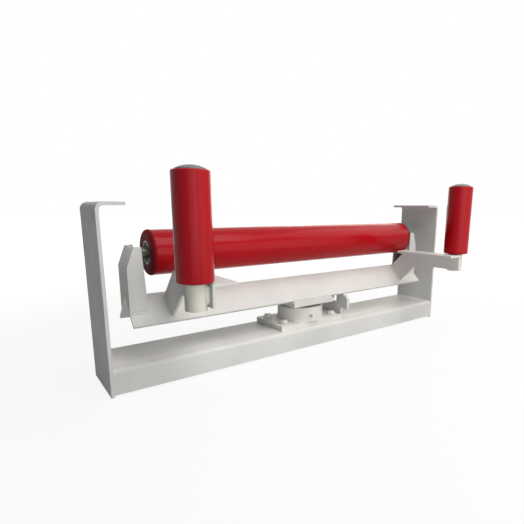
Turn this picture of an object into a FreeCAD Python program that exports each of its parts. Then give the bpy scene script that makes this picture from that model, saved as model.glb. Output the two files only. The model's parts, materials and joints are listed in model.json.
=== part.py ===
import FreeCAD, Part
import math
import os
import re
import Sketcher
from FreeCAD import Placement, Rotation, Vector

# Self-aligning return idler for a 650 mm belt, hung under the conveyor's stringers.
# Origin: centre of the four hanger bolts, in the plane of the flange tops.
# +X runs along the return roller, -Y faces the incoming belt, +Z points up.

SIZES = {
    # driving width: the swing beam and the hangers follow the length of the return roller
    "roller_length": 750,
    "roller_inset": 45,
    "swing_room": 45,
    # hangers: bent flat bars, bolted to the stringers by their top flanges
    "bolt_inset": 26,
    "bolt_pitch": 90,
    "bolt_hole": 14,
    "hanger_height": 344,
    "hanger_width": 130,
    "hanger_plate": 6,
    "flange_length": 48,
    "hanger_bend": 14,
    # base beam: channel with its web on top, welded between the hangers
    "foot_gap": 4,
    "beam_height": 48,
    "beam_plate": 5,
    "beam_bend": 9,
    # pivot base plate and its bolts
    "base_length": 190,
    "base_width": 110,
    "base_plate": 12,
    "base_bolt_span": 150,
    "base_bolt_pitch": 70,
    "base_bolt": 10,
    "base_bolt_play": 1,
    "base_bolt_head": 6.4,
    "base_bolt_flats": 17,
    "base_bolt_grip": 31,
    "base_nut": 8,
    "base_washer": 21,
    "base_washer_plate": 2,
    # pivot housing with a thrust bearing over a bush
    "housing_diameter": 114,
    "housing_height": 34,
    "housing_floor": 13,
    "housing_chamfer": 2,
    "nipple_angle": -100,
    "nipple_height": 15,
    "nipple_hole": 6,
    "nipple_depth": 8,
    "nipple_shoulder": 9,
    "nipple_shoulder_plate": 2,
    "nipple_neck": 3.6,
    "nipple_neck_height": 4,
    "nipple_head_height": 5.2,
    "nipple_tip": 3,
    "nipple_length": 6.8,
    "thrust_bore": 50,
    "thrust_diameter": 78,
    "thrust_height": 22,
    "thrust_race": 7.5,
    "race_relief": 1,
    "thrust_ball": 10,
    "thrust_ball_count": 12,
    "bush_bore": 40,
    "bush_diameter": 48,
    # kingpin, its nut and the turntable plate on top
    "pin_collar": 6,
    "pin_thread": 24,
    "pin_thread_length": 28,
    "pin_washer": 56,
    "pin_washer_plate": 4,
    "pin_nut": 19,
    "pin_nut_flats": 36,
    "pin_nut_room": 66,
    "turntable_length": 124,
    "turntable_width": 120,
    "turntable_plate": 10,
    # swing beam: rolled angle, heel up
    "angle_leg": 70,
    "angle_plate": 6,
    "angle_root": 8,
    # swing stop: a fork on the base beam round a pin under the swing beam
    "swing_limit": 8,
    "stop_distance": 108,
    "stop_plate": 8,
    "stop_pin": 16,
    "stop_pin_reach": 18,
    "stop_pin_chamfer": 1,
    "stop_play": 0.4,
    "fork_head_width": 128,
    "fork_head_height": 34,
    "fork_stem_width": 80,
    "fork_round": 13,
    "fork_depth": 22,
    "fork_headroom": 2,
    # return roller
    "roller_drop": 95,
    "roller_diameter": 89,
    "roller_wall": 4,
    "roller_shaft": 20,
    "roller_shaft_middle": 25,
    "shaft_inset": 20,
    "shaft_flats": 14,
    "shaft_flat_length": 17,
    "cup_shoulder": 6,
    "cup_land": 1,
    "cup_rim": 18,
    "cup_plate": 3,
    "cup_hub": 25,
    # deep-groove bearing shared by all rollers
    "bearing_bore": 20,
    "bearing_diameter": 47,
    "bearing_width": 14,
    "bearing_ring": 4,
    "bearing_shield": 1,
    "bearing_inset": 9,
    # roller brackets on the ends of the swing beam
    "bracket_width": 60,
    "bracket_depth": 34,
    "bracket_top_depth": 28,
    "bracket_plate": 5,
    "bracket_rise": 14,
    "bracket_chamfer_height": 37,
    "bracket_chamfer_depth": 14,
    "bracket_cut_margin": 6,
    "saddle_plate": 6,
    "saddle_depth": 60,
    "saddle_rise": 9,
    # goose-neck arms with a boss for each guide roller
    "guide_inset": 13,
    "guide_reach": 200,
    "arm_drop": 31,
    "arm_height": 39,
    "arm_flange": 43,
    "arm_plate": 5,
    "arm_nose": 25,
    "arm_throat": 20,
    "neck_start": 4,
    "neck_width": 54,
    "boss_diameter": 36,
    "boss_length": 43,
    "boss_flat": 1,
    # guide rollers
    "guide_gap": 2,
    "guide_diameter": 60,
    "guide_wall": 3.5,
    "guide_length": 170.5,
    "guide_rim": 3,
    "guide_bearing_inset": 5,
    "guide_collar": 27,
    "sleeve_lip": 2,
    "clip_plate": 1.2,
    "clip_groove": 1,
    "clip_ring": 3,
    "cap_plug": 3,
    "cap_diameter": 48,
    "cap_edge": 1.5,
    "cap_rise": 6,
    "cap_wall": 2.5,
    "seal_plate": 4,
    "seal_lip": 2,
    # running clearances
    "running_play": 0.05,
    "face_play": 0.3,
}

doc = FreeCAD.newDocument("return_idler")
sheet = doc.addObject("Spreadsheet::Sheet", "Sizes")
for row, (alias, size) in enumerate(SIZES.items(), 1):
    sheet.set(f"A{row}", alias)
    sheet.set(f"B{row}", str(size))
    sheet.setAlias(f"B{row}", alias)
doc.recompute()

SIZE_WORD = re.compile(r"\b(" + "|".join(SIZES) + r")\b")
PARTS = []

# Levels and stations that several pieces share, as expressions of the sizes
BEAM_END = "(roller_length/2 + roller_inset)"
HANGER_INSIDE = f"({BEAM_END} + swing_room)"
HANGER_OUTSIDE = f"({HANGER_INSIDE} + hanger_plate)"
FOOT = "(-hanger_height)"
BEAM_TOP = f"({FOOT} + foot_gap + beam_height)"
BASE_TOP = f"({BEAM_TOP} + base_plate)"
RACE_SEAT = f"({BASE_TOP} + housing_floor)"
THRUST_TOP = f"({RACE_SEAT} + thrust_height)"
TURNTABLE_SEAT = f"({THRUST_TOP} + pin_collar)"
TURNTABLE_TOP = f"({TURNTABLE_SEAT} + turntable_plate)"
HEEL = f"({TURNTABLE_TOP} + (angle_leg + angle_plate) / sqrt(2))"
ROLLER_AXIS = "(-roller_drop)"
ARM_TOP = f"({ROLLER_AXIS} - arm_drop)"
ARM_BOTTOM = f"({ARM_TOP} - arm_height)"
GUIDE_BOTTOM = f"({ARM_TOP} + guide_gap)"
GUIDE_X = "(-(roller_length / 2 - guide_inset))"
GUIDE_Y = "(-guide_reach)"
ARM_FACE = f"({GUIDE_X} + boss_diameter / 2 - boss_flat)"
RACE_PITCH = "((thrust_bore + thrust_diameter) / 4)"


def bind(expression):
    """Write an expression of sizes with the sheet's name before each size."""
    return SIZE_WORD.sub(r"Sizes.\1", expression)


def number(expression):
    """Present value of an expression of sizes."""
    result = sheet.evalExpression(bind(expression))
    return float(getattr(result, "Value", result))


def keep(piece, label):
    """Name a finished piece and list it for writing."""
    piece.Label = label
    PARTS.append(piece)
    return piece


def place(piece, x="0", y="0", z="0"):
    """Tie a piece's position to the sizes."""
    for axis, expression in zip("xyz", (x, y, z)):
        piece.setExpression(f"Placement.Base.{axis}", bind(expression))
    return piece


def new_body(name):
    return doc.addObject("PartDesign::Body", name)


def arc_between(start, end, radius):
    """Shorter arc of the given radius, anticlockwise from start to end."""
    chord = end - start
    leftward = Vector(-chord.y, chord.x, 0).normalize()
    rise = (radius ** 2 - chord.Length ** 2 / 4) ** 0.5
    centre = (start + end) / 2 + leftward * rise
    angles = [math.atan2(point.y - centre.y, point.x - centre.x) for point in (start, end)]
    return Part.ArcOfCircle(Part.Circle(centre, Vector(0, 0, 1), radius), *angles)


def draw(body, plane, loops, lift="0"):
    """Sketch on an origin plane: lists of corners, or (x, y, diameter) circles.

    A corner with a third value starts an arc of that radius, anticlockwise to the next corner.
    """
    sketch = body.newObject("Sketcher::SketchObject", "profile")
    support = next(item for item in body.Origin.OriginFeatures if item.Role == plane)
    sketch.AttachmentSupport = [(support, "")]
    sketch.MapMode = "FlatFace"
    sketch.setExpression("AttachmentOffset.Base.z", bind(lift))

    def fix(kind, geometry, point, expression):
        rule = Sketcher.Constraint(kind, -1, 1, geometry, point, number(expression))
        sketch.setExpression(f"Constraints[{sketch.addConstraint(rule)}]", bind(expression))

    for loop in loops:
        if isinstance(loop, tuple):
            x, y, diameter = loop
            centre = Vector(number(x), number(y), 0)
            circle = Part.Circle(centre, Vector(0, 0, 1), number(diameter) / 2)
            index = sketch.addGeometry(circle, False)
            rule = Sketcher.Constraint("Diameter", index, number(diameter))
            sketch.setExpression(f"Constraints[{sketch.addConstraint(rule)}]", bind(diameter))
            fix("DistanceX", index, 3, x)
            fix("DistanceY", index, 3, y)
            continue
        corners = [Vector(number(x), number(y), 0) for x, y, *_ in loop]
        first = sketch.GeometryCount
        count = len(loop)
        for step, (_, _, *bulge) in enumerate(loop):
            ends = corners[step], corners[(step + 1) % count]
            side = arc_between(*ends, number(bulge[0])) if bulge else Part.LineSegment(*ends)
            sketch.addGeometry(side, False)
        for step, (x, y, *bulge) in enumerate(loop):
            following = first + (step + 1) % count
            sketch.addConstraint(Sketcher.Constraint("Coincident", first + step, 2, following, 1))
            fix("DistanceX", first + step, 1, x)
            fix("DistanceY", first + step, 1, y)
            if bulge:
                rule = Sketcher.Constraint("Radius", first + step, number(bulge[0]))
                sketch.setExpression(f"Constraints[{sketch.addConstraint(rule)}]", bind(bulge[0]))
    return sketch


def settle(feature):
    """Recompute, and stop where the new feature failed."""
    doc.recompute()
    if "Invalid" in feature.State or "Error" in feature.State:
        raise RuntimeError(f"{feature.Name} failed: {feature.getStatusString()}")


def pad(body, plane, loops, length, lift="0", symmetric=False, reverse=False):
    """Extrude a profile off its plane."""
    feature = body.newObject("PartDesign::Pad", "pad")
    feature.Profile = draw(body, plane, loops, lift)
    feature.setExpression("Length", bind(length))
    feature.SideType = "Symmetric" if symmetric else "One side"
    feature.Reversed = reverse
    settle(feature)
    return body


def cut(body, plane, loops, length=None, reverse=False):
    """Cut a profile away: to both sides of its plane, or on one side when reverse is given."""
    before = body.Shape.Volume
    feature = body.newObject("PartDesign::Pocket", "pocket")
    feature.Profile = draw(body, plane, loops)
    feature.SideType = "One side" if reverse else "Symmetric"
    feature.Reversed = reverse
    if length is None:
        feature.Type = "ThroughAll"
    else:
        feature.setExpression("Length", bind(length))
    settle(feature)
    if body.Shape.Volume > before - 1e-3:
        raise RuntimeError(f"{body.Name}: a pocket cuts nothing")
    return body


def turn(body, outline, axis="V_Axis"):
    """Revolve an outline of (radius, height) points, or (length, radius) about the H axis."""
    feature = body.newObject("PartDesign::Revolution", "turning")
    profile = draw(body, "XZ_Plane", [outline])
    feature.Profile = profile
    feature.ReferenceAxis = (profile, [axis])
    feature.Angle = 360
    settle(feature)
    return body


def groove(body, radius, height, diameter):
    """Turn a round groove into a ring."""
    feature = body.newObject("PartDesign::Groove", "raceway")
    profile = draw(body, "XZ_Plane", [(radius, height, diameter)])
    feature.Profile = profile
    feature.ReferenceAxis = (profile, ["V_Axis"])
    feature.Angle = 360
    settle(feature)
    return body


def round_edges(body, radius, wanted):
    """Fillet the edges that the test picks."""
    edges = [f"Edge{index}" for index, edge in enumerate(body.Shape.Edges, 1) if wanted(edge)]
    if not edges:
        raise RuntimeError(f"{body.Name}: no edge to round")
    base = body.Tip
    feature = body.newObject("PartDesign::Fillet", "rounding")
    feature.Base = (base, edges)
    feature.setExpression("Radius", bind(radius))
    settle(feature)
    return body


def lies_at(edge, **where):
    """True where a straight edge keeps to the given x, y or z along its whole length."""
    box = edge.BoundBox
    spans = {"x": (box.XMin, box.XMax), "y": (box.YMin, box.YMax), "z": (box.ZMin, box.ZMax)}
    return all(abs(end - value) < 1e-3 for axis, value in where.items() for end in spans[axis])


def box_outline(low_x, high_x, low_y, high_y):
    return [(low_x, low_y), (high_x, low_y), (high_x, high_y), (low_x, high_y)]


def centred_box(length, width):
    return box_outline(f"-{length}/2", f"{length}/2", f"-{width}/2", f"{width}/2")


def hexagon(flats, x="0", y="0"):
    """Corners of a hexagon with the given width across flats."""
    reach = f"{flats}/sqrt(3)"
    return [(f"{x} + {reach}*cos({60 * k})", f"{y} + {reach}*sin({60 * k})") for k in range(6)]


def ring(low_radius, high_radius, low, high):
    return box_outline(low_radius, high_radius, low, high)


def mirror(piece, name, normal):
    """Opposite-hand copy across a plane through the origin."""
    copy = doc.addObject("Part::Mirroring", name)
    copy.Source = piece
    copy.Normal = normal
    return copy


def group(label, pieces):
    """Identical pieces as separate solids of one node."""
    compound = doc.addObject("Part::Compound", label)
    compound.Links = pieces
    return keep(compound, label)


ACROSS = Vector(1, 0, 0)
ALONG = Vector(0, 1, 0)


def pair(left, name):
    """Keep a left-hand piece and its right-hand mirror image."""
    keep(left, f"left_{name}")
    keep(mirror(left, f"right_{name}", ACROSS), f"right_{name}")


def both_ends(left, label):
    """Group a left-hand piece with its mirror image in one node."""
    group(label, [left, mirror(left, f"{label}_right", ACROSS)])


def four_corners(piece, label):
    """Group a piece with its mirror images in the other three corners."""
    beside = mirror(piece, f"{label}_beside", ACROSS)
    behind = mirror(piece, f"{label}_behind", ALONG)
    opposite = mirror(beside, f"{label}_opposite", ALONG)
    group(label, [piece, beside, behind, opposite])


def make_hangers():
    """Bent flat bars with two bolt holes in each top flange."""
    hanger = new_body("left_hanger")
    outside = f"-{HANGER_OUTSIDE}"
    inside = f"-{HANGER_INSIDE}"
    tip = f"flange_length - {HANGER_OUTSIDE}"
    outline = [(outside, FOOT), (inside, FOOT), (inside, "-hanger_plate"), (tip, "-hanger_plate"),
               (tip, "0"), (outside, "0")]
    pad(hanger, "XZ_Plane", [outline], "hanger_width", symmetric=True)
    round_edges(hanger, "hanger_bend", lambda edge: lies_at(edge, x=number(outside), z=0))
    root = number("-hanger_plate")
    round_edges(hanger, "hanger_bend - hanger_plate", lambda edge: lies_at(edge, x=number(inside), z=root))
    bolt_x = f"bolt_inset - {HANGER_OUTSIDE}"
    holes = [(bolt_x, f"{side}bolt_pitch/2", "bolt_hole") for side in ("", "-")]
    cut(hanger, "XY_Plane", holes)
    pair(hanger, "hanger")


def corner_holes():
    """Circles of the four base bolts, with their play."""
    diameter = "base_bolt + base_bolt_play"
    return [(f"{a}base_bolt_span/2", f"{b}base_bolt_pitch/2", diameter) for a in ("", "-") for b in ("", "-")]


def make_base_beam():
    """Cold-formed channel, web up, between the hangers."""
    beam = new_body("base_beam")
    half = "hanger_width/2"
    inner = f"{half} - beam_plate"
    ceiling = "beam_height - beam_plate"
    outline = [(f"-{half}", "0"), (f"-({inner})", "0"), (f"-({inner})", ceiling), (inner, ceiling),
               (inner, "0"), (half, "0"), (half, "beam_height"), (f"-{half}", "beam_height")]
    pad(beam, "YZ_Plane", [outline], f"2*{HANGER_INSIDE}", symmetric=True)
    top = number("beam_height")
    under = number(ceiling)
    width = number("hanger_width")
    round_edges(beam, "beam_bend", lambda edge: edge.Length > width and lies_at(edge, z=top))
    round_edges(beam, "beam_bend - beam_plate", lambda edge: edge.Length > width and lies_at(edge, z=under))
    cut(beam, "XY_Plane", corner_holes() + [("0", "0", "pin_nut_room")])
    place(keep(beam, "base_beam"), z=f"{FOOT} + foot_gap")


def make_base_plate():
    plate = new_body("pivot_base_plate")
    loops = [centred_box("base_length", "base_width"), ("0", "0", "bush_diameter")]
    pad(plate, "XY_Plane", loops + corner_holes(), "base_plate")
    place(keep(plate, "pivot_base_plate"), z=BEAM_TOP)


def make_base_fasteners():
    """Hexagon bolts from above, washers under their heads, nuts inside the channel."""
    corner = {"x": "base_bolt_span/2", "y": "base_bolt_pitch/2"}
    head_seat = f"{BASE_TOP} + base_washer_plate"
    bolt = new_body("base_bolt")
    pad(bolt, "XY_Plane", [hexagon("base_bolt_flats")], "base_bolt_head")
    pad(bolt, "XY_Plane", [("0", "0", "base_bolt")], "base_bolt_grip", reverse=True)
    four_corners(place(bolt, z=head_seat, **corner), "base_bolts")
    washer = new_body("base_washer")
    washer_hole = ("0", "0", "base_bolt + base_bolt_play/2")
    pad(washer, "XY_Plane", [("0", "0", "base_washer"), washer_hole], "base_washer_plate")
    four_corners(place(washer, z=BASE_TOP, **corner), "base_washers")
    nut = new_body("base_nut")
    pad(nut, "XY_Plane", [hexagon("base_bolt_flats"), ("0", "0", "base_bolt")], "base_nut", reverse=True)
    four_corners(place(nut, z=f"{BEAM_TOP} - beam_plate", **corner), "base_nuts")


def make_housing():
    """Turned cup that carries the bush in its floor and the thrust bearing on it."""
    housing = new_body("pivot_housing")
    bore = "bush_diameter/2"
    seat = "thrust_diameter/2 + face_play"
    outside = "housing_diameter/2"
    outline = [(bore, "0"), (outside, "0"), (outside, "housing_height - housing_chamfer"),
               (f"{outside} - housing_chamfer", "housing_height"), (seat, "housing_height"),
               (seat, "housing_floor"), (bore, "housing_floor")]
    turn(housing, outline)
    cut(housing, "XZ_Plane", [("0", "nipple_height", "nipple_hole")], reverse=True)
    turned = Rotation(Vector(0, 0, 1), SIZES["nipple_angle"] + 90)
    housing.Placement = Placement(Vector(), turned)
    place(keep(housing, "pivot_housing"), z=BASE_TOP)
    nipple = new_body("grease_nipple")
    stem = "nipple_hole/2"
    outline = [("0", "-nipple_depth"), (stem, "-nipple_depth"), (stem, "0"), ("nipple_shoulder/2", "0"),
               ("nipple_shoulder/2", "nipple_shoulder_plate"), ("nipple_neck/2", "nipple_neck_height"),
               (stem, "nipple_head_height"), ("nipple_tip/2", "nipple_length"), ("0", "nipple_length")]
    turn(nipple, outline)
    lean = Rotation(Vector(0, 0, 1), SIZES["nipple_angle"]) * Rotation(Vector(0, 1, 0), 90)
    nipple.Placement = Placement(Vector(), lean)
    place(keep(nipple, "grease_nipple"), f"{outside}*cos(nipple_angle)", f"{outside}*sin(nipple_angle)",
          f"{BASE_TOP} + nipple_height")


def make_pivot_bearings():
    """Bronze bush for the kingpin, and a thrust ball bearing that carries the swing frame."""
    bush = new_body("kingpin_bush")
    turn(bush, ring("bush_bore/2 + running_play", "bush_diameter/2", "0", "base_plate + housing_floor"))
    place(keep(bush, "kingpin_bush"), z=BEAM_TOP)
    outside = "thrust_diameter/2"
    middle = "thrust_height/2"
    track = "thrust_ball + 2*running_play"
    lower = new_body("thrust_lower_race")
    turn(lower, ring("thrust_bore/2 + race_relief", outside, "0", "thrust_race"))
    groove(lower, RACE_PITCH, middle, track)
    place(keep(lower, "thrust_lower_race"), z=RACE_SEAT)
    upper = new_body("thrust_upper_race")
    rim = f"{outside} - race_relief"
    turn(upper, ring("thrust_bore/2", rim, "thrust_height - thrust_race", "thrust_height"))
    groove(upper, RACE_PITCH, middle, track)
    place(keep(upper, "thrust_upper_race"), z=RACE_SEAT)
    balls = []
    count = SIZES["thrust_ball_count"]
    for step in range(count):
        ball = doc.addObject("Part::Sphere", "thrust_ball")
        ball.setExpression("Radius", bind("thrust_ball/2"))
        angle = 360 * step / count
        place(ball, f"{RACE_PITCH}*cos({angle})", f"{RACE_PITCH}*sin({angle})", f"{RACE_SEAT} + {middle}")
        balls.append(ball)
    group("thrust_balls", balls)


def make_kingpin():
    """Stepped pin under the turntable plate, held down by a washer and nut inside the channel."""
    journal = "bush_bore/2"
    thread = "pin_thread/2"
    shoulder = f"{BEAM_TOP} - face_play"
    step = f"{RACE_SEAT} + race_relief"
    outline = [("0", f"{shoulder} - pin_thread_length"), (thread, f"{shoulder} - pin_thread_length"),
               (thread, shoulder), (journal, shoulder), (journal, step), ("thrust_bore/2", step),
               ("thrust_bore/2", THRUST_TOP), ("thrust_diameter/2", THRUST_TOP),
               ("thrust_diameter/2", TURNTABLE_SEAT), (journal, TURNTABLE_SEAT), (journal, TURNTABLE_TOP),
               ("0", TURNTABLE_TOP)]
    keep(turn(new_body("kingpin"), outline), "kingpin")
    washer = new_body("kingpin_washer")
    loops = [("0", "0", "pin_washer"), ("0", "0", "pin_thread")]
    pad(washer, "XY_Plane", loops, "pin_washer_plate", reverse=True)
    place(keep(washer, "kingpin_washer"), z=shoulder)
    nut = new_body("kingpin_nut")
    pad(nut, "XY_Plane", [hexagon("pin_nut_flats"), ("0", "0", "pin_thread")], "pin_nut", reverse=True)
    place(keep(nut, "kingpin_nut"), z=f"{shoulder} - pin_washer_plate")


def make_swing_beam():
    """Turntable plate on the kingpin, and the rolled angle on its two toes."""
    plate = new_body("turntable_plate")
    loops = [centred_box("turntable_length", "turntable_width"), ("0", "0", "bush_bore")]
    pad(plate, "XY_Plane", loops, "turntable_plate")
    place(keep(plate, "turntable_plate"), z=TURNTABLE_SEAT)
    beam = new_body("swing_beam")
    toe = "angle_leg/sqrt(2)"
    inner = "(angle_leg - angle_plate)/sqrt(2)"
    drop = "(angle_leg + angle_plate)/sqrt(2)"
    root = "-angle_plate*sqrt(2)"
    outline = [("0", "0"), (f"-{toe}", f"-{toe}"), (f"-{inner}", f"-{drop}"), ("0", root),
               (inner, f"-{drop}"), (toe, f"-{toe}")]
    pad(beam, "YZ_Plane", [outline], f"2*{BEAM_END}", symmetric=True)
    root_level = number(root)
    round_edges(beam, "angle_root", lambda edge: lies_at(edge, y=0, z=root_level))
    place(keep(beam, "swing_beam"), z=HEEL)


def make_swing_stop():
    """Fork on the base beam and the pin that swings between its ears."""
    gap = "(stop_distance*sin(swing_limit) + stop_pin/2 + stop_play)"
    top = f"({TURNTABLE_TOP} - fork_headroom)"
    neck = f"({top} - fork_head_height)"
    corner = "fork_head_width/2"
    right_side = [("fork_stem_width/2", BEAM_TOP), ("fork_stem_width/2", neck), (corner, neck),
                  (corner, top), (gap, top), (gap, f"{top} - fork_depth")]
    left_side = [(f"-({x})", z) for x, z in reversed(right_side)]
    fork = new_body("stop_fork")
    pad(fork, "YZ_Plane", [right_side + left_side], "stop_plate", lift="stop_distance - stop_plate/2")
    reach = number(corner)
    level = number(top)
    round_edges(fork, "fork_round", lambda edge: any(lies_at(edge, y=y, z=level) for y in (reach, -reach)))
    keep(fork, "stop_fork")
    pin = new_body("stop_pin")
    crown = f"({HEEL} - angle_plate*sqrt(2) - stop_pin/2)"
    tail = f"({top} - stop_pin_reach)"
    turn(pin, [("0", tail), ("stop_pin/2 - stop_pin_chamfer", tail),
               ("stop_pin/2", f"{tail} + stop_pin_chamfer"), ("stop_pin/2", crown), ("0", crown)])
    place(keep(pin, "stop_pin"), x="stop_distance")


def make_roller_brackets():
    """Channel posts with a sloped shoulder, notched onto the heel of the swing beam, with shaft saddles."""
    outside = f"(-{BEAM_END})"
    inside = f"({outside} + bracket_depth)"
    inside_top = f"({outside} + bracket_top_depth)"
    top = f"({ROLLER_AXIS} + bracket_rise)"
    shoulder = f"({top} - bracket_chamfer_height)"
    bottom = f"({HEEL} - bracket_width/2)"
    slope_x = f"({outside} + bracket_chamfer_depth)"
    bracket = new_body("left_roller_bracket")
    outline = [(outside, bottom), (inside, bottom), (inside_top, top), (slope_x, top), (outside, shoulder)]
    pad(bracket, "XZ_Plane", [outline], "bracket_width", symmetric=True)
    wall = "bracket_plate"
    past = "bracket_cut_margin"
    hollow = [(f"{outside} + {wall}", f"{bottom} - {past}"), (f"{inside} + {past}", f"{bottom} - {past}"),
              (f"{inside} + {past}", f"{top} + {past}"), (f"{slope_x} + {wall}", f"{top} + {past}"),
              (f"{slope_x} + {wall}", top), (f"{outside} + {wall}", shoulder)]
    cut(bracket, "XZ_Plane", [hollow], "bracket_width - 2*bracket_plate")
    deep = f"{HEEL} - bracket_width"
    notch = [("0", HEEL), ("bracket_width", deep), ("-bracket_width", deep)]
    cut(bracket, "YZ_Plane", [notch])
    pair(bracket, "roller_bracket")
    saddle = new_body("left_shaft_saddle")
    half = "bracket_width/2 - bracket_plate"
    slot = "shaft_flats/2 + running_play"
    high = f"{ROLLER_AXIS} + saddle_rise"
    low = f"{high} - saddle_depth"
    seat = f"{ROLLER_AXIS} - roller_shaft/2 - running_play"
    outline = [(f"-({half})", low), (half, low), (half, high), (slot, high), (slot, seat),
               (f"-({slot})", seat), (f"-({slot})", high), (f"-({half})", high)]
    pad(saddle, "YZ_Plane", [outline], "saddle_plate", lift=f"{inside_top} - saddle_plate")
    pair(saddle, "shaft_saddle")


def make_guide_arms():
    """Goose-neck arms of flanged plate on the front leg, with a boss outside each nose."""
    nose = f"({GUIDE_Y} - arm_nose)"
    start = "neck_start"
    tip = "(neck_start + neck_width/sqrt(2))"
    back = f"(-({ARM_TOP} - {HEEL} + 2*{start}))"
    throat = f"(-({ARM_BOTTOM} - {HEEL} + 2*{tip}))"
    arm = new_body("left_guide_arm")
    outline = [(f"-{start}", f"{HEEL} - {start}"), (f"-{tip}", f"{HEEL} - {tip}"), (throat, ARM_BOTTOM),
               (nose, ARM_BOTTOM), (nose, ARM_TOP), (back, ARM_TOP)]
    pad(arm, "YZ_Plane", [outline], "arm_plate", lift=ARM_FACE)
    corner = {"y": number(throat), "z": number(ARM_BOTTOM)}
    round_edges(arm, "arm_throat", lambda edge: lies_at(edge, **corner))
    flange = box_outline(ARM_FACE, f"{ARM_FACE} + arm_flange", nose, back)
    pad(arm, "XY_Plane", [flange], "arm_plate", lift=f"{ARM_TOP} - arm_plate")
    pair(arm, "guide_arm")
    boss = new_body("left_guide_boss")
    loops = [("0", "0", "boss_diameter"), ("0", "0", "roller_shaft")]
    pad(boss, "XY_Plane", loops, "boss_length", reverse=True)
    face = "boss_diameter/2 - boss_flat"
    cut(boss, "XY_Plane", [box_outline(face, "boss_diameter", "-boss_diameter", "boss_diameter")])
    place(boss, GUIDE_X, GUIDE_Y, ARM_TOP)
    pair(boss, "guide_boss")


def outer_ring(low, high):
    """Outer race with a thin shield at each side."""
    outside = "bearing_diameter/2"
    inside = "bearing_diameter/2 - bearing_ring"
    shield = "bearing_bore/2 + bearing_ring + face_play"
    return [(outside, low), (outside, high), (shield, high), (shield, f"{high} - bearing_shield"),
            (inside, f"{high} - bearing_shield"), (inside, f"{low} + bearing_shield"),
            (shield, f"{low} + bearing_shield"), (shield, low)]


def inner_ring(low, high):
    return ring("bearing_bore/2", "bearing_bore/2 + bearing_ring", low, high)


def swapped(outline):
    """The same outline for turning about the X axis: length first, then radius."""
    return [(height, radius, *bulge) for radius, height, *bulge in outline]


def make_return_roller():
    """Steel tube with round-shouldered bearing cups, shielded bearings and seals on a flatted shaft."""
    end = "-roller_length/2"
    outside = "roller_diameter/2"
    inside = f"{outside} - roller_wall"
    bend = f"{end} + cup_shoulder"
    seam = f"({bend} + cup_land)"
    shell = new_body("return_roller_shell")
    keep(turn(shell, swapped(ring(inside, outside, seam, f"-{seam}")), "H_Axis"), "return_roller_shell")
    back = f"{end} + cup_plate"
    rim_end = f"{end} + cup_rim"
    hub_end = f"{end} + cup_hub"
    hub = "bearing_diameter/2"
    bearing = f"({end} + bearing_inset)"
    bearing_end = f"({bearing} + bearing_width)"
    rim = f"{inside} - cup_plate"
    boss = f"{hub} + cup_plate"
    lip = f"{hub} - bearing_ring"
    cup = [(outside, seam), (outside, bend, "cup_shoulder"), (f"{outside} - cup_shoulder", end), (hub, end),
           (hub, bearing_end), (lip, bearing_end), (lip, hub_end), (boss, hub_end), (boss, back), (rim, back),
           (rim, rim_end), (inside, rim_end), (inside, seam)]
    seal_face = f"{bearing} - running_play"
    seal = ring("roller_shaft/2 + seal_lip", hub, f"{seal_face} - seal_plate", seal_face)
    rings = {"return_bearing_cups": cup, "return_roller_seals": seal,
             "return_bearing_outer_rings": outer_ring(bearing, bearing_end),
             "return_bearing_inner_rings": inner_ring(bearing, bearing_end)}
    for label, outline in rings.items():
        both_ends(turn(new_body(f"{label}_left"), swapped(outline), "H_Axis"), label)
    thin = "roller_shaft/2"
    thick = "roller_shaft_middle/2"
    tail = f"({BEAM_END} - shaft_inset)"
    steps = [(f"-{tail}", "0"), (f"-{tail}", thin), (bearing_end, thin), (bearing_end, thick),
             (f"-{bearing_end}", thick), (f"-{bearing_end}", thin), (tail, thin), (tail, "0")]
    shaft = turn(new_body("return_roller_shaft"), steps, "H_Axis")
    flat_start = f"{tail} - shaft_flat_length"
    flats = [box_outline(low, high, f"{side}shaft_flats/2", f"{side}roller_shaft")
             for side in ("", "-") for low, high in ((flat_start, tail), (f"-({tail})", f"-({flat_start})"))]
    cut(shaft, "XY_Plane", flats)
    place(keep(shaft, "return_roller_shaft"))
    for piece in PARTS:
        if piece.Label.startswith("return_"):
            place(piece, z=ROLLER_AXIS)


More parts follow.
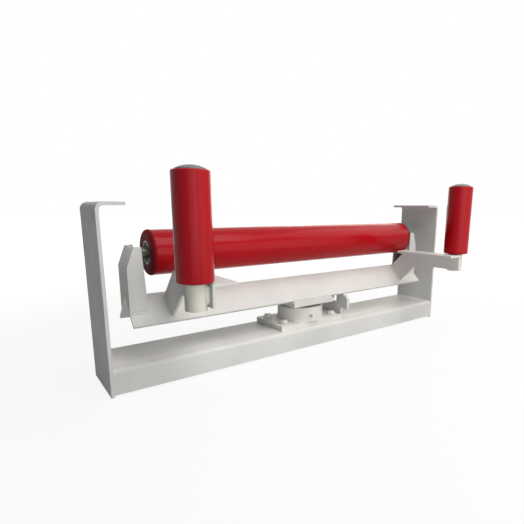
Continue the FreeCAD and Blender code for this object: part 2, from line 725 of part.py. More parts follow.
def make_guide_rollers():
    """Upright rollers on shafts pressed into the bosses, closed by domed caps."""
    inside = "guide_diameter/2 - guide_wall"
    seat = "bearing_diameter/2"
    low = "guide_bearing_inset"
    low_end = f"({low} + bearing_width)"
    high_end = "(guide_length - guide_bearing_inset)"
    high = f"({high_end} - bearing_width)"
    shell = turn(new_body("left_guide_shell"), ring(inside, "guide_diameter/2", "0", "guide_length"))
    outside = number("guide_diameter")
    round_edges(shell, "guide_rim", lambda edge: edge.BoundBox.XLength > outside - 1e-3 and edge.Closed)
    bottom = "cap_plug"
    lip = f"{low_end} + sleeve_lip"
    ledge = f"{seat} - bearing_ring"
    lower_sleeve = [(seat, bottom), (inside, bottom), (inside, lip), (ledge, lip), (ledge, low_end),
                    (seat, low_end)]
    upper_sleeve = [(radius, f"guide_length - ({height})") for radius, height in reversed(lower_sleeve)]
    seal_face = f"{low} - running_play"
    seal = ring("guide_collar/2 + face_play", seat, f"{seal_face} - seal_plate", seal_face)
    plug = "guide_length - cap_plug"
    dome = "cap_diameter/2"
    edge = "guide_length + cap_edge"
    hollow = f"{dome} - cap_wall"
    dome_radius = f"(({dome})^2 + cap_rise^2) / (2*cap_rise)"
    cap = [(hollow, plug), (inside, plug), (inside, "guide_length"), (dome, "guide_length"),
           (dome, edge, dome_radius), ("0", f"{edge} + cap_rise"), ("0", "guide_length"), (hollow, "guide_length")]
    top = f"{high_end} + clip_plate"
    journal = "roller_shaft/2"
    thin = f"{journal} - clip_groove"
    boss_top = "(-guide_gap)"
    tail = f"{boss_top} - boss_length"
    tip = f"{top} + clip_plate"
    collar = "guide_collar/2"
    shaft_steps = [("0", tail), (journal, tail), (journal, boss_top), (collar, boss_top), (collar, low),
                   (journal, low), (journal, high_end), (thin, high_end), (thin, top), (journal, top),
                   (journal, tip), ("0", tip)]
    clip = ring(thin, f"{journal} + clip_ring", high_end, top)
    singles = {"guide_shell": shell,
               "guide_cap": turn(new_body("left_guide_cap"), cap),
               "guide_seal": turn(new_body("left_guide_seal"), seal),
               "guide_shaft": turn(new_body("left_guide_shaft"), shaft_steps),
               "guide_clip": turn(new_body("left_guide_clip"), clip)}
    for name, piece in singles.items():
        pair(place(piece, GUIDE_X, GUIDE_Y, GUIDE_BOTTOM), name)
    couples = {"guide_sleeves": (lower_sleeve, upper_sleeve),
               "guide_outer_rings": (outer_ring(low, low_end), outer_ring(high, high_end)),
               "guide_inner_rings": (inner_ring(low, low_end), inner_ring(high, high_end))}
    for name, outlines in couples.items():
        rings = [turn(new_body(name), outline) for outline in outlines]
        for piece in rings:
            place(piece, GUIDE_X, GUIDE_Y, GUIDE_BOTTOM)
        group(f"left_{name}", rings)
        group(f"right_{name}", [mirror(piece, f"right_{name}_piece", ACROSS) for piece in rings])


def write_parts():
    """Check every object, then write each piece to its own file."""
    doc.recompute()
    for item in doc.Objects:
        if "Invalid" in item.State or "Error" in item.State:
            raise RuntimeError(f"{item.Name} failed: {item.State}")
    for piece in PARTS:
        if piece.Shape.isNull() or not piece.Shape.isValid():
            raise RuntimeError(f"{piece.Label} has no valid shape")
    os.makedirs("parts", exist_ok=True)
    for piece in PARTS:
        piece.Shape.exportStep(f"parts/{piece.Label}.step")


make_hangers()
make_base_beam()
make_base_plate()
make_base_fasteners()
make_housing()
make_pivot_bearings()
make_kingpin()
make_swing_beam()
make_swing_stop()
make_roller_brackets()
make_guide_arms()
make_return_roller()
make_guide_rollers()
write_parts()
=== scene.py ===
import json
import math
import random

import bpy
import bmesh
from mathutils import Matrix, Vector


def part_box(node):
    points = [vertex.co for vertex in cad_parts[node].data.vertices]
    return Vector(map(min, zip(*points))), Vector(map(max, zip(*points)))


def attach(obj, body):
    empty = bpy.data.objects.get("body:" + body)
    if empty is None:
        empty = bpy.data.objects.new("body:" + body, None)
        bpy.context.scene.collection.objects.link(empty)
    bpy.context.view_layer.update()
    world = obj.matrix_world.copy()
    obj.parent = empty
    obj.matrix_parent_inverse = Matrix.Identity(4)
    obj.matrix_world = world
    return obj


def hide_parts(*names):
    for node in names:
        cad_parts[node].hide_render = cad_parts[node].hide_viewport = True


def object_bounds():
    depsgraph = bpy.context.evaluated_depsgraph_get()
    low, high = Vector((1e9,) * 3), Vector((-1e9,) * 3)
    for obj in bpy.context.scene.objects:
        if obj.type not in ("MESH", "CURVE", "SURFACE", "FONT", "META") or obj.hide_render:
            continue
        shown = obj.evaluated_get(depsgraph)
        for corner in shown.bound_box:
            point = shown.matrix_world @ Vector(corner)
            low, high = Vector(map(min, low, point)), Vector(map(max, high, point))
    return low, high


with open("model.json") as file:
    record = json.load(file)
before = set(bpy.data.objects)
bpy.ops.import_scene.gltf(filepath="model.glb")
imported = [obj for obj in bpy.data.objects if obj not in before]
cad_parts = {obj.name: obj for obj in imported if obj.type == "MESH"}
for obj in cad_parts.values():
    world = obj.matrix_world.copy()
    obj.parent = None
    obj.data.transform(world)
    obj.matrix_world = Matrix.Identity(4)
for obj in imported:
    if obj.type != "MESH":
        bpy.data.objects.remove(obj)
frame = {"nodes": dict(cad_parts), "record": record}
cad_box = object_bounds()
MM = 0.001
WHITE = (1, 1, 1)


# Materials: every surface is procedural, in the part's own frame and in metres

NOISE_LOW, NOISE_HIGH = 0.3, 0.7  # most values of a noise lie between these
EDGE_SAMPLES = 6
CORNER_SAMPLES = 8
TIGHT_CORNER = 0.15               # openness of a corner that takes all the dust and painted shade


def new_material(name, base, roughness, metallic=0.0, specular=0.5, gloss=WHITE):
    """Material with a principled shader; returns it with its nodes, links and shader."""
    material = bpy.data.materials.new(name)
    material.use_nodes = True
    nodes = material.node_tree.nodes
    shader = nodes["Principled BSDF"]
    shader.inputs["Base Color"].default_value = (*base, 1)
    shader.inputs["Roughness"].default_value = roughness
    shader.inputs["Metallic"].default_value = metallic
    shader.inputs["Specular IOR Level"].default_value = specular
    shader.inputs["Specular Tint"].default_value = (*gloss, 1)
    return material, nodes, material.node_tree.links, shader


def noise(nodes, links, scale, detail=3.0, stretch=None):
    """Noise with the given number of features per metre, times stretch along each axis."""
    source = nodes.new("ShaderNodeTexCoord").outputs["Object"]
    if stretch:
        mapping = nodes.new("ShaderNodeMapping")
        mapping.inputs["Scale"].default_value = stretch
        links.new(source, mapping.inputs["Vector"])
        source = mapping.outputs["Vector"]
    texture = nodes.new("ShaderNodeTexNoise")
    texture.inputs["Scale"].default_value = scale
    texture.inputs["Detail"].default_value = detail
    links.new(source, texture.inputs["Vector"])
    return texture.outputs["Fac"]


def ramp(nodes, links, source, low, low_colour, high, high_colour):
    """Colour that runs from one to another between two values of the source."""
    node = nodes.new("ShaderNodeValToRGB")
    stops = ((low, low_colour), (high, high_colour))
    for element, (position, colour) in zip(node.color_ramp.elements, stops):
        element.position = position
        element.color = (*colour, 1)
    links.new(source, node.inputs["Fac"])
    return node.outputs["Color"]


def shades(nodes, links, source, base, dark, light):
    """Colour that follows a noise, between two multiples of the base."""
    low_colour, high_colour = (tuple(min(1.0, channel * factor) for channel in base)
                               for factor in (dark, light))
    return ramp(nodes, links, source, NOISE_LOW, low_colour, NOISE_HIGH, high_colour)


def uneven_gloss(nodes, links, shader, source, roughness, low, high):
    """Roughness that follows a noise, between two multiples of the given one."""
    node = nodes.new("ShaderNodeMapRange")
    node.inputs["From Min"].default_value = NOISE_LOW
    node.inputs["From Max"].default_value = NOISE_HIGH
    node.inputs["To Min"].default_value = roughness * low
    node.inputs["To Max"].default_value = roughness * high
    links.new(source, node.inputs["Value"])
    links.new(node.outputs["Result"], shader.inputs["Roughness"])


def multiply(nodes, links, first, second):
    """Product of two colours."""
    node = nodes.new("ShaderNodeMix")
    node.data_type = "RGBA"
    node.blend_type = "MULTIPLY"
    node.inputs["Factor"].default_value = 1.0
    links.new(first, node.inputs["A"])
    links.new(second, node.inputs["B"])
    return node.outputs["Result"]


def bump(nodes, links, shader, height, distance, strength, edge):
    """Surface relief, and edges rounded off to a radius."""
    node = nodes.new("ShaderNodeBump")
    node.inputs["Distance"].default_value = distance
    node.inputs["Strength"].default_value = strength
    links.new(height, node.inputs["Height"])
    bevel = nodes.new("ShaderNodeBevel")
    bevel.samples = EDGE_SAMPLES
    bevel.inputs["Radius"].default_value = edge
    links.new(bevel.outputs["Normal"], node.inputs["Normal"])
    links.new(node.outputs["Normal"], shader.inputs["Normal"])


def corner_dust_and_shade(nodes, links, dust_and_shade, reach, clear):
    """Dust and painted shade where faces meet, darkening by ambient occlusion: its colour in tight
    corners, white where the openness is clear.
    """
    corner = nodes.new("ShaderNodeAmbientOcclusion")
    corner.samples = CORNER_SAMPLES
    corner.inputs["Distance"].default_value = reach
    return ramp(nodes, links, corner.outputs["AO"], TIGHT_CORNER, dust_and_shade, clear, WHITE)


# Features per metre
CLOUDS, GLOSS_PATCHES, PEEL_BUMPS, SPECKS = 11, 55, 380, 700
TOOL_MARKS, TARNISH_SPOTS = 900, 60
FLOW_MARKS, DULL_PATCHES, GRAIN = 35, 150, 1500
SPECK_CORE, SPECK_EDGE = 0.24, 0.31  # noise values inside a speck and at its edge


def painted(name, base, roughness, peel, specular, dust_and_shade, speck=None, reach=14 * MM, clear=0.75,
            gloss=WHITE):
    """Sprayed paint: cloudy colour, uneven gloss, dust and painted shade in corners and fine
    orange peel.
    """
    material, nodes, links, shader = new_material(name, base, roughness, specular=specular,
                                                  gloss=gloss)
    clouds = noise(nodes, links, CLOUDS, detail=5)
    colour = shades(nodes, links, clouds, base, dark=0.93, light=1.04)
    if speck:
        dots = noise(nodes, links, SPECKS, detail=1)
        dots = ramp(nodes, links, dots, SPECK_CORE, speck, SPECK_EDGE, WHITE)
        colour = multiply(nodes, links, colour, dots)
    # Corners darkened by ambient occlusion: dust and painted shade
    colour = multiply(nodes, links, colour, corner_dust_and_shade(nodes, links, dust_and_shade, reach, clear))
    links.new(colour, shader.inputs["Base Color"])
    patches = noise(nodes, links, GLOSS_PATCHES)
    uneven_gloss(nodes, links, shader, patches, roughness, low=0.9, high=1.12)
    bumps = noise(nodes, links, PEEL_BUMPS, detail=2)
    bump(nodes, links, shader, bumps, distance=peel, strength=0.35, edge=0.7 * MM)
    return material


def metal(name, base, roughness):
    """Machined metal with fine tool marks and a little tarnish."""
    material, nodes, links, shader = new_material(name, base, roughness, metallic=1.0)
    marks = noise(nodes, links, TOOL_MARKS, detail=2, stretch=(1, 1, 8))
    spots = noise(nodes, links, TARNISH_SPOTS)
    tarnish = shades(nodes, links, spots, base, dark=0.72, light=1.1)
    links.new(tarnish, shader.inputs["Base Color"])
    uneven_gloss(nodes, links, shader, marks, roughness, low=0.75, high=1.3)
    bump(nodes, links, shader, marks, distance=0.06 * MM, strength=0.4, edge=0.4 * MM)
    return material


def moulded(name, base, roughness):
    """Moulded plastic: faint flow marks and a fine grain."""
    material, nodes, links, shader = new_material(name, base, roughness, specular=0.3)
    marks = noise(nodes, links, FLOW_MARKS, detail=4)
    flow = shades(nodes, links, marks, base, dark=0.82, light=1.12)
    links.new(flow, shader.inputs["Base Color"])
    patches = noise(nodes, links, DULL_PATCHES)
    uneven_gloss(nodes, links, shader, patches, roughness, low=0.85, high=1.2)
    grain = noise(nodes, links, GRAIN, detail=2)
    bump(nodes, links, shader, grain, distance=0.05 * MM, strength=0.4, edge=0.5 * MM)
    return material


FRAME_GREY = (0.76, 0.755, 0.74)
# Corner colour of the frame paint: dust and painted shade
PAINT_DUST_AND_SHADE = (0.80, 0.78, 0.73)
# Painted shade for the brackets' outer webs, in the gap to the hangers
GAP_SHADE = (0.25, 0.26, 0.265)
# Corner colour of the red paint: dust and painted shade
RED_DUST_AND_SHADE = (0.72, 0.62, 0.62)
FRAME_COAT = {"roughness": 0.5, "peel": 0.12 * MM, "specular": 0.12, "speck": (0.90, 0.89, 0.87)}

MATERIALS = {
    "frame_paint": painted("frame_paint", FRAME_GREY, dust_and_shade=PAINT_DUST_AND_SHADE, **FRAME_COAT),
    # The cool specular tint of the red paint is a painted tint of the highlights, standing in for
    # bluish light
    "roller_red": painted("roller_red", (0.43, 0.003, 0.007), roughness=0.2, peel=0.006 * MM,
                          specular=0.135, dust_and_shade=RED_DUST_AND_SHADE, gloss=(0.93, 0.88, 1.0)),
    "bare_steel": metal("bare_steel", (0.30, 0.29, 0.25), roughness=0.36),
    "bush_bronze": metal("bush_bronze", (0.55, 0.36, 0.16), roughness=0.35),
    "seal_plastic": moulded("seal_plastic", (0.11, 0.14, 0.10), roughness=0.5),
    "cap_plastic": moulded("cap_plastic", (0.20, 0.20, 0.195), roughness=0.45),
}
boss_paint = painted("boss_paint", (0.80, 0.77, 0.67), dust_and_shade=PAINT_DUST_AND_SHADE, **FRAME_COAT)
# Bearing cups in a darker, duller copy of the roller red: painted shade on the roller ends
cup_shaded_red = painted("cup_shaded_red", (0.17, 0.012, 0.018), roughness=0.55, peel=0.08 * MM,
                    specular=0.04, dust_and_shade=RED_DUST_AND_SHADE)
# Brackets darkened by ambient occlusion reaching 60 mm: painted shade between bracket and hanger
bracket_shaded_paint = painted("bracket_shaded_paint", FRAME_GREY, dust_and_shade=GAP_SHADE, reach=60 * MM, clear=0.95,
                        **FRAME_COAT)
# Base plate and housing in a lighter, warmer copy of the frame paint: painted light on the pivot
pivot_lit_paint = painted("pivot_lit_paint", (0.82, 0.798, 0.75), dust_and_shade=PAINT_DUST_AND_SHADE, **FRAME_COAT)
# Materials of single parts: the bosses' cream paint, and copies of the paint that carry painted
# shade (cups, brackets) or painted light (pivot)
PART_MATERIALS = {
    "left_guide_boss": boss_paint, "right_guide_boss": boss_paint,
    "return_bearing_cups": cup_shaded_red,
    "left_roller_bracket": bracket_shaded_paint, "right_roller_bracket": bracket_shaded_paint,
    "pivot_base_plate": pivot_lit_paint, "pivot_housing": pivot_lit_paint,
}

for entry in frame["record"]["subparts"]:
    node = entry["node"]
    mesh = frame["nodes"][node].data
    mesh.materials.clear()
    mesh.materials.append(PART_MATERIALS.get(node) or MATERIALS[entry["material_slot"]])


# Mesh helpers: every extra piece is a run of rings, lofted

SHARP_ANGLE = math.radians(32)


def circle(radius, height, count):
    """Ring of points round the Z axis."""
    angles = (2 * math.pi * step / count for step in range(count))
    return [Vector((radius * math.cos(angle), radius * math.sin(angle), height))
            for angle in angles]


def loft(bm, rings, closed=False):
    """Skin equal rings; the ends are capped, or joined to each other where closed."""
    loops = [[bm.verts.new(point) for point in ring] for ring in rings]
    count = len(loops[0])
    runs = list(zip(loops, loops[1:]))
    if closed:
        runs.append((loops[-1], loops[0]))
    for first, second in runs:
        for step in range(count):
            after = (step + 1) % count
            bm.faces.new((first[step], first[after], second[after], second[step]))
    if not closed:
        bm.faces.new(reversed(loops[0]))
        bm.faces.new(loops[-1])


def finish_piece(bm, name, slot, body, replaced=(), material=None):
    """Turn lofted rings into a piece of the model that rides on a body."""
    bmesh.ops.recalc_face_normals(bm, faces=bm.faces)
    mesh = bpy.data.meshes.new(name)
    bm.to_mesh(mesh)
    bm.free()
    mesh.polygons.foreach_set("use_smooth", [True] * len(mesh.polygons))
    mesh.set_sharp_from_angle(angle=SHARP_ANGLE)
    mesh.materials.append(material or MATERIALS[slot])
    piece = bpy.data.objects.new(name, mesh)
    bpy.context.scene.collection.objects.link(piece)
    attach(piece, body)
    if replaced:
        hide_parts(*replaced)


# Weld beads in the corners where plates meet

BEAD_PITCH = 2.6 * MM
BEAD_SIDES = 12
RINGS_PER_RIPPLE = 4
BEAD_RIPPLE = 0.24  # share of the radius by which a ripple swells
BEAD_WOBBLE = 0.33  # share of the ripple by which neighbours differ
BEAD_LEAD = 0.4     # share of the pitch by which a ripple's crown runs ahead
BEAD_BLUNT = 0.9    # 1 would end a bead in a point
FEWEST_RIPPLES = 2
SEED = 11
hand = random.Random(SEED)


def bead_rings(points, outward, radius, closed=False, ripple=BEAD_RIPPLE):
    """Rings of a rippled bead with rounded ends, along points at equal steps."""
    rings = []
    wobble = 1.0
    last = len(points) - 1
    for step, point in enumerate(points):
        phase = step % RINGS_PER_RIPPLE
        if phase == 0:
            wobble = 1 + ripple * hand.uniform(-BEAD_WOBBLE, BEAD_WOBBLE)
        if closed or step < last:
            tangent = (points[(step + 1) % len(points)] - point).normalized()
        else:
            tangent = (point - points[step - 1]).normalized()
        out = outward(point)
        side = tangent.cross(out)
        swell = 1 - ripple + ripple * math.sin(math.pi * (phase + 0.5) / RINGS_PER_RIPPLE)
        from_end = min(step, last - step) * (points[1] - points[0]).length
        slope = max(0.0, BEAD_BLUNT - from_end / radius)
        taper = 1.0 if closed else math.sqrt(1 - slope * slope)
        reach = radius * swell * wobble * taper
        ring = []
        for corner in range(BEAD_SIDES):
            angle = 2 * math.pi * corner / BEAD_SIDES
            spoke = out * math.cos(angle) + side * math.sin(angle)
            lead = BEAD_LEAD * BEAD_PITCH * math.cos(angle)
            ring.append(point + reach * spoke + tangent * lead)
        rings.append(ring)
    return rings


def straight_bead(bm, start, end, outward, radius, ripple=BEAD_RIPPLE):
    """Bead along a straight corner."""
    start, end = Vector(start), Vector(end)
    out = Vector(outward).normalized()
    ripples = max(FEWEST_RIPPLES, round((end - start).length / BEAD_PITCH))
    count = ripples * RINGS_PER_RIPPLE
    points = [start.lerp(end, step / count) for step in range(count + 1)]
    loft(bm, bead_rings(points, lambda point: out, radius, ripple=ripple))


def ring_bead(bm, centre, ring_radius, radius):
    """Bead round a turned piece that stands on a plate."""
    centre = Vector(centre)
    raised = Vector((0, 0, 1))
    count = round(2 * math.pi * ring_radius / BEAD_PITCH) * RINGS_PER_RIPPLE
    points = [centre + point for point in circle(ring_radius, 0, count)]

    def outward(point):
        return ((point - centre).normalized() + raised).normalized()

    loft(bm, bead_rings(points, outward, radius, closed=True), closed=True)


def mirrored(sign, x, y, z):
    """Point of the left side, or with sign -1 its mirror image on the right."""
    return sign * x, y, z


PLATE_WELD = 2.6 * MM
TOE_WELD = 4.5 * MM
TOE_WELD_OUT = 0.3 * TOE_WELD
BOSS_WELD = 8 * MM
BOSS_WELD_IN = 4.5 * MM
BOSS_WELD_ALONG = 10.5 * MM
BOSS_WELD_RIPPLE = 0.07
ARM_PLATE = 5 * MM
BEND_CLEARANCE = 11 * MM
FORK_STEM_HALF = 40 * MM
housing_low, housing_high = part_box("pivot_housing")
housing_radius = (housing_high.x - housing_low.x) / 2


def weld_hanger_frame():
    """Beads at the base beam's ends, round the pivot housing and along the stop fork."""
    welds = bmesh.new()
    beam_low, beam_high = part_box("base_beam")
    half = beam_high.y - BEND_CLEARANCE
    for sign in (1, -1):
        straight_bead(welds, mirrored(sign, beam_low.x, -half, beam_high.z),
                      mirrored(sign, beam_low.x, half, beam_high.z),
                      outward=(sign, 0, 1), radius=PLATE_WELD)
    ring_bead(welds, (0, 0, housing_low.z), housing_radius, PLATE_WELD)
    fork_low, fork_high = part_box("stop_fork")
    for x, away in ((fork_low.x, -1), (fork_high.x, 1)):
        straight_bead(welds, (x, -FORK_STEM_HALF, fork_low.z), (x, FORK_STEM_HALF, fork_low.z),
                      outward=(away, 0, 1), radius=PLATE_WELD)
    finish_piece(welds, "hanger_frame_welds", "frame_paint", "hanger_frame")


def weld_bracket(welds, sign, heel):
    """Beads along the feet of a roller bracket's flanges, on the slopes of the swing beam."""
    low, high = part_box("left_roller_bracket")
    level = heel - high.y
    for side in (1, -1):
        straight_bead(welds, mirrored(sign, low.x + PLATE_WELD, side * high.y, level),
                      mirrored(sign, high.x, side * high.y, level),
                      outward=(0, side, 0.4), radius=PLATE_WELD)


def weld_arm(welds, sign, heel):
    """Beads on both sides of a guide arm's foot, down the front slope of the swing beam."""
    low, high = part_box("left_guide_arm")
    for x, away in ((low.x, -1), (low.x + ARM_PLATE, 1)):
        straight_bead(welds, mirrored(sign, x, high.y, heel + high.y),
                      mirrored(sign, x, low.z - heel, low.z),
                      outward=(sign * away, -0.7, 0.7), radius=PLATE_WELD)


def weld_boss(welds, sign):
    """Smooth upright beads that join a guide boss to its arm, before and behind it."""
    low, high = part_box("left_guide_boss")
    shaft_low, shaft_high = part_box("left_guide_shaft")
    guide_y = (shaft_low.y + shaft_high.y) / 2
    for side in (1, -1):
        seam = (high.x - BOSS_WELD_IN, guide_y + side * BOSS_WELD_ALONG)
        straight_bead(welds, mirrored(sign, *seam, low.z + BOSS_WELD),
                      mirrored(sign, *seam, high.z - PLATE_WELD),
                      outward=(-0.5 * sign, side, 0), radius=BOSS_WELD, ripple=BOSS_WELD_RIPPLE)


def weld_swing_frame():
    """Beads at the brackets, arms and bosses, and along the toes of the swing beam."""
    welds = bmesh.new()
    boss_welds = bmesh.new()
    beam_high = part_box("swing_beam")[1]
    for sign in (1, -1):
        weld_bracket(welds, sign, beam_high.z)
        weld_arm(welds, sign, beam_high.z)
        weld_boss(boss_welds, sign)
    table_low, table_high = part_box("turntable_plate")
    for side in (1, -1):
        toe = side * (beam_high.y + TOE_WELD_OUT)
        straight_bead(welds, (table_low.x + PLATE_WELD, toe, table_high.z),
                      (table_high.x - PLATE_WELD, toe, table_high.z),
                      outward=(0, side, 0.6), radius=TOE_WELD)
    finish_piece(welds, "swing_frame_welds", "frame_paint", "swing_frame")
    finish_piece(boss_welds, "boss_welds", "frame_paint", "swing_frame", material=boss_paint)


weld_hanger_frame()
weld_swing_frame()


# Hexagon bolts and nuts with chamfered corners and cut threads

SIDES = 36
CHAMFER = math.tan(math.radians(30))
FACE_SHARE = 0.475  # radius of a hexagon's flat end, as a share of its width across flats
THREAD_DEPTH = 0.6  # share of the pitch
THREAD_START = 0.4  # share of the radius at the bolt's tip
RINGS_PER_TURN = 6
BOLT_FLATS = 17 * MM
BOLT_HEAD = 6.4 * MM
BOLT_RADIUS = 5 * MM
BOLT_PITCH = 1.5 * MM
BOLT_THREAD = 18 * MM
BOLT_FACE = 0.3 * MM
PIN_NUT_FLATS = 36 * MM
PIN_RADIUS = 12 * MM


def hexagon(flats, height, slope):
    """Ring of a hexagon that rises or falls by the slope towards its corners."""
    ring = []
    for point in circle(1, 0, SIDES):
        angle = math.atan2(point.y, point.x) % (math.pi / 3)
        reach = flats / 2 / math.cos(angle - math.pi / 6)
        level = height + slope * (reach - FACE_SHARE * flats)
        ring.append(Vector((point.x * reach, point.y * reach, level)))
    return ring


def thread_rings(radius, pitch, low, high):
    """Rings of a helical thread that starts at a tapered tip."""
    count = math.ceil((high - low) / pitch * RINGS_PER_TURN)
    rings = []
    for step in range(count + 1):
        height = low + (high - low) * step / count
        tip = min(1.0, THREAD_START + step / RINGS_PER_TURN)
        ring = []
        for point in circle(1, 0, SIDES):
            turns = height / pitch - math.atan2(point.y, point.x) / (2 * math.pi)
            valley = abs(2 * (turns % 1) - 1)
            reach = (radius - THREAD_DEPTH * pitch * valley) * tip
            ring.append(Vector((point.x * reach, point.y * reach, height)))
        rings.append(ring)
    return rings


def nut_rings(flats, bore, low, high):
    """Closed run of rings round a nut: bore, chamfered ends and flats."""
    face = FACE_SHARE * flats
    return [circle(bore, low, SIDES), circle(face, low, SIDES), hexagon(flats, low, CHAMFER),
            hexagon(flats, high, -CHAMFER), circle(face, high, SIDES), circle(bore, high, SIDES)]


def bolt_rings(low, high):
    """Run of rings from a bolt's tip to the top of its head."""
    seat = high - BOLT_HEAD
    face = FACE_SHARE * BOLT_FLATS
    thread_end = low + BOLT_THREAD
    shank = [circle(BOLT_RADIUS, thread_end + BOLT_PITCH, SIDES), circle(BOLT_RADIUS, seat, SIDES)]
    head = [circle(face, seat, SIDES), hexagon(BOLT_FLATS, seat + BOLT_FACE, 0),
            hexagon(BOLT_FLATS, high, -CHAMFER), circle(face, high, SIDES)]
    return thread_rings(BOLT_RADIUS, BOLT_PITCH, low, thread_end) + shank + head


def make_base_fasteners():
    """Four bolts and nuts at the corners of the pivot's base plate."""
    bolts_low, bolts_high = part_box("base_bolts")
    nuts_low, nuts_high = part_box("base_nuts")
    corner_x = bolts_high.x - BOLT_FLATS / math.sqrt(3)
    corner_y = bolts_high.y - BOLT_FLATS / 2
    bolt = bolt_rings(bolts_low.z, bolts_high.z)
    nut = nut_rings(BOLT_FLATS, BOLT_RADIUS, nuts_low.z, nuts_high.z)
    bolts = bmesh.new()
    nuts = bmesh.new()
    for x in (corner_x, -corner_x):
        for y in (corner_y, -corner_y):
            place = Vector((x, y, 0))
            loft(bolts, [[point + place for point in ring] for ring in bolt])
            loft(nuts, [[point + place for point in ring] for ring in nut], closed=True)
    finish_piece(bolts, "base_hex_bolts", "frame_paint", "hanger_frame", ["base_bolts"])
    finish_piece(nuts, "base_hex_nuts", "frame_paint", "hanger_frame", ["base_nuts"])


def make_pin_nut():
    """Nut at the foot of the kingpin."""
    low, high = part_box("kingpin_nut")
    nut = bmesh.new()
    loft(nut, nut_rings(PIN_NUT_FLATS, PIN_RADIUS, low.z, high.z), closed=True)
    finish_piece(nut, "kingpin_hex_nut", "bare_steel", "swing_frame", ["kingpin_nut"])


make_base_fasteners()
make_pin_nut()


# Grease nipple in the front of the pivot housing

NIPPLE_FLATS = 7 * MM
NIPPLE_ROOT = -1 * MM
NIPPLE_COLLAR = 2 * MM
NIPPLE_CHAMFER = 0.2 * MM
NIPPLE_TURN = math.radians(-100)
# Radius and height above the housing, in mm
NIPPLE_HEAD = [(1.8, 1.9), (1.7, 3.4), (2.3, 4.2), (2.6, 5.0), (2.4, 5.9), (1.5, 6.8), (0.8, 6.8),
               (0.6, 6.4)]


def make_nipple():
    """Painted hexagon collar and a bare head with a ball seat."""
    low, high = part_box("grease_nipple")
    axis = Vector((math.cos(NIPPLE_TURN), math.sin(NIPPLE_TURN), 0))
    foot = axis * housing_radius
    foot.z = (low.z + high.z) / 2
    place = Matrix.Translation(foot) @ axis.to_track_quat("Z", "Y").to_matrix().to_4x4()
    collar_rings = [hexagon(NIPPLE_FLATS, NIPPLE_ROOT, 0),
                    hexagon(NIPPLE_FLATS, NIPPLE_COLLAR - NIPPLE_CHAMFER, -CHAMFER),
                    circle(FACE_SHARE * NIPPLE_FLATS, NIPPLE_COLLAR, SIDES)]
    head_rings = [circle(radius * MM, height * MM, SIDES) for radius, height in NIPPLE_HEAD]
    collar = bmesh.new()
    loft(collar, [[place @ point for point in ring] for ring in collar_rings])
    finish_piece(collar, "nipple_collar", "frame_paint", "hanger_frame", ["grease_nipple"])
    head = bmesh.new()
    loft(head, [[place @ point for point in ring] for ring in head_rings])
    finish_piece(head, "nipple_head", "bare_steel", "hanger_frame")


make_nipple()


# Labyrinth seals at the ends of the return roller, nearly flush with the bearing cups

SEAL_STEPS = 64
# Radius and depth below the solid seal's face, negative where it stands out, in mm
SEAL_PROFILE = [(12.0, 4.0), (12.0, -2.8), (12.5, -3.3), (14.4, -3.3), (14.8, -2.3), (16.0, -2.3),
                (16.4, -3.4), (18.6, -3.4), (19.0, -2.4), (20.4, -2.4), (20.4, 4.0)]
RIM_PROFILE = [(20.4, 4.0), (20.4, -3.9), (20.8, -4.4), (23.0, -4.4), (23.5, -3.9), (23.5, 4.0)]


def at_roller_ends(profile):
    """Mesh of a turned profile at both ends of the return roller."""
    bm = bmesh.new()
    low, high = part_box("return_roller_seals")
    axis_y, axis_z = (low.y + high.y) / 2, (low.z + high.z) / 2
    for face_x, inward in ((low.x, 1), (high.x, -1)):
        rings = []
        for spoke in circle(MM, 0, SEAL_STEPS):
            rings.append([Vector((face_x + inward * depth * MM, axis_y + radius * spoke.x,
                                  axis_z + radius * spoke.y)) for radius, depth in profile])
        loft(bm, rings, closed=True)
    return bm


finish_piece(at_roller_ends(SEAL_PROFILE), "labyrinth_seals", "seal_plastic", "return_roller",
             ["return_roller_seals"])
finish_piece(at_roller_ends(RIM_PROFILE), "seal_rims", "bare_steel", "return_roller")


# Stage and lights, in metres and watts

FLOOR_SIZE = 30
FLOOR_GREY = (0.45, 0.45, 0.445)
FLOOR_ROUGHNESS = 0.9
FLOOR_GLOW = 1.12
FLOOR_SHADOW = 0.2  # share of the floor's own shading that shows near the object
SHADOW_REACH = 1.8
SHADOW_FULL = 0.6   # nearness, 1 at the middle and 0 at the reach, from which it shows in full
AMBIENT = 0.01
LIT_POINT = Vector((0, 0, -0.17))
# Place, size, power and colour
LIGHTS = {
    "overhead": ((0.1, -0.8, 1.2), 1.1, 15.4, (1, 0.985, 0.964)),
    "front": ((-0.1, -1.9, 0.1), 1.2, 6.3, (1, 0.93, 0.83)),
    "low": ((0.45, -1.1, 0.0), 0.9, 3.4, (1, 0.94, 0.85)),
    "side": ((1.3, -0.45, 0.85), 1.2, 6.5, (1, 0.99, 0.97)),
    "beside": ((-0.8, -1.7, 0.15), 1.2, 6.9, (0.75, 0.92, 1)),
    "behind": ((1.2, 0.8, 0.3), 1.0, 6.0, (1, 0.94, 0.85)),
    "rear": ((0.7, 1.7, 0.15), 1.2, 6.5, (1, 0.96, 0.9)),
}


def combine(nodes, links, operation, first, second):
    """Result of an operation on two values."""
    node = nodes.new("ShaderNodeMath")
    node.operation = operation
    links.new(first, node.inputs[0])
    links.new(second, node.inputs[1])
    return node.outputs["Value"]


def seen_directly(nodes, links):
    """One for camera, mirror and glass rays, nought for the light that reaches the object."""
    path = nodes.new("ShaderNodeLightPath")
    result = path.outputs["Is Camera Ray"]
    for other in ("Is Glossy Ray", "Is Transmission Ray"):
        result = combine(nodes, links, "MAXIMUM", result, path.outputs[other])
    return result


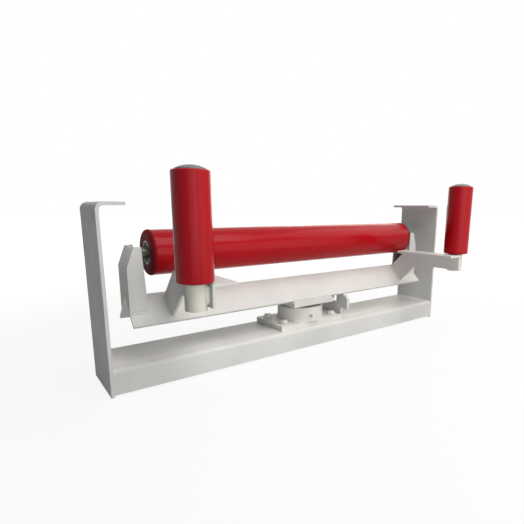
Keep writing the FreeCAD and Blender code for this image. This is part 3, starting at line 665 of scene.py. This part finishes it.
def mix_shaders(nodes, links, share, first, second, output):
    """Send a mix of two shaders to the output; share is the second one's part."""
    mix = nodes.new("ShaderNodeMixShader")
    links.new(share, mix.inputs["Fac"])
    links.new(first, mix.inputs[1])
    links.new(second, mix.inputs[2])
    links.new(mix.outputs["Shader"], nodes[output].inputs["Surface"])


def make_world():
    """Dim even light on the object, in front of a white backdrop."""
    world = bpy.data.worlds.new("studio")
    bpy.context.scene.world = world
    world.use_nodes = True
    nodes, links = world.node_tree.nodes, world.node_tree.links
    ambient = nodes["Background"]
    backdrop = nodes.new("ShaderNodeBackground")
    for background, strength in ((ambient, AMBIENT), (backdrop, 1.0)):
        background.inputs["Color"].default_value = (*WHITE, 1)
        background.inputs["Strength"].default_value = strength
    mix_shaders(nodes, links, seen_directly(nodes, links), ambient.outputs["Background"],
                backdrop.outputs["Background"], "World Output")


def floor_material():
    """Grey floor that shows white, apart from a faint shadow near the object."""
    material, nodes, links, shader = new_material("floor", FLOOR_GREY, FLOOR_ROUGHNESS)
    glow = nodes.new("ShaderNodeEmission")
    glow.inputs["Strength"].default_value = FLOOR_GLOW
    near = nodes.new("ShaderNodeMapping")
    near.inputs["Scale"].default_value = (1 / SHADOW_REACH,) * 3
    links.new(nodes.new("ShaderNodeTexCoord").outputs["Object"], near.inputs["Vector"])
    fade = nodes.new("ShaderNodeTexGradient")
    fade.gradient_type = "SPHERICAL"
    links.new(near.outputs["Vector"], fade.inputs["Vector"])
    share = nodes.new("ShaderNodeMapRange")
    share.inputs["From Max"].default_value = SHADOW_FULL
    share.inputs["To Min"].default_value = 1.0
    share.inputs["To Max"].default_value = 1 - FLOOR_SHADOW
    links.new(fade.outputs["Fac"], share.inputs["Value"])
    white = combine(nodes, links, "MULTIPLY", seen_directly(nodes, links), share.outputs["Result"])
    mix_shaders(nodes, links, white, shader.outputs["BSDF"], glow.outputs["Emission"],
                "Material Output")
    return material


def make_floor():
    """Floor under the hangers' feet."""
    bm = bmesh.new()
    half = FLOOR_SIZE / 2
    corners = ((-half, -half), (half, -half), (half, half), (-half, half))
    bm.faces.new([bm.verts.new((x, y, 0)) for x, y in corners])
    mesh = bpy.data.meshes.new("floor")
    bm.to_mesh(mesh)
    bm.free()
    mesh.materials.append(floor_material())
    floor = bpy.data.objects.new("floor", mesh)
    floor.location.z = cad_box[0][2]
    bpy.context.scene.collection.objects.link(floor)


def area_light(name, place, size, power, colour):
    """Square lamp that faces the object."""
    data = bpy.data.lights.new(name, "AREA")
    data.shape = "SQUARE"
    data.size = size
    data.energy = power
    data.color = colour
    lamp = bpy.data.objects.new(name, data)
    lamp.location = place
    lamp.rotation_euler = (LIT_POINT - Vector(place)).to_track_quat("-Z", "Y").to_euler()
    bpy.context.scene.collection.objects.link(lamp)


make_world()
make_floor()
for name, settings in LIGHTS.items():
    area_light(name, *settings)


# Camera fitted to the photograph

CAMERA_PLACE = Vector((-613.96, -797.06, -7.25)) * MM
CAMERA_YAW = math.radians(37.41)
CAMERA_PITCH = math.radians(-11.32)
CAMERA_ROLL = math.radians(0.38)
IMAGE_SIZE = 524
FOCAL_PIXELS = 405.6
CENTRE_PIXEL = (298.71, 288.28)
SENSOR = 36
CLIP_START = 0.01


def make_camera():
    """Camera with the photograph's place, direction, field of view and framing."""
    camera = bpy.data.cameras.new("camera")
    camera.sensor_width = SENSOR
    camera.lens = FOCAL_PIXELS / IMAGE_SIZE * SENSOR
    camera.shift_x = (IMAGE_SIZE / 2 - CENTRE_PIXEL[0]) / IMAGE_SIZE
    camera.shift_y = (CENTRE_PIXEL[1] - IMAGE_SIZE / 2) / IMAGE_SIZE
    camera.clip_start = CLIP_START
    ahead = math.cos(CAMERA_PITCH)
    forward = Vector((math.sin(CAMERA_YAW) * ahead, math.cos(CAMERA_YAW) * ahead,
                      math.sin(CAMERA_PITCH)))
    level = Vector((math.cos(CAMERA_YAW), -math.sin(CAMERA_YAW), 0))
    right = math.cos(CAMERA_ROLL) * level + math.sin(CAMERA_ROLL) * level.cross(forward)
    upward = right.cross(forward)
    turn = Matrix((right, upward, -forward)).transposed().to_4x4()
    viewer = bpy.data.objects.new("camera", camera)
    viewer.matrix_world = Matrix.Translation(CAMERA_PLACE) @ turn
    bpy.context.scene.collection.objects.link(viewer)
    bpy.context.scene.camera = viewer


make_camera()
bpy.context.scene.view_settings.view_transform = "Standard"
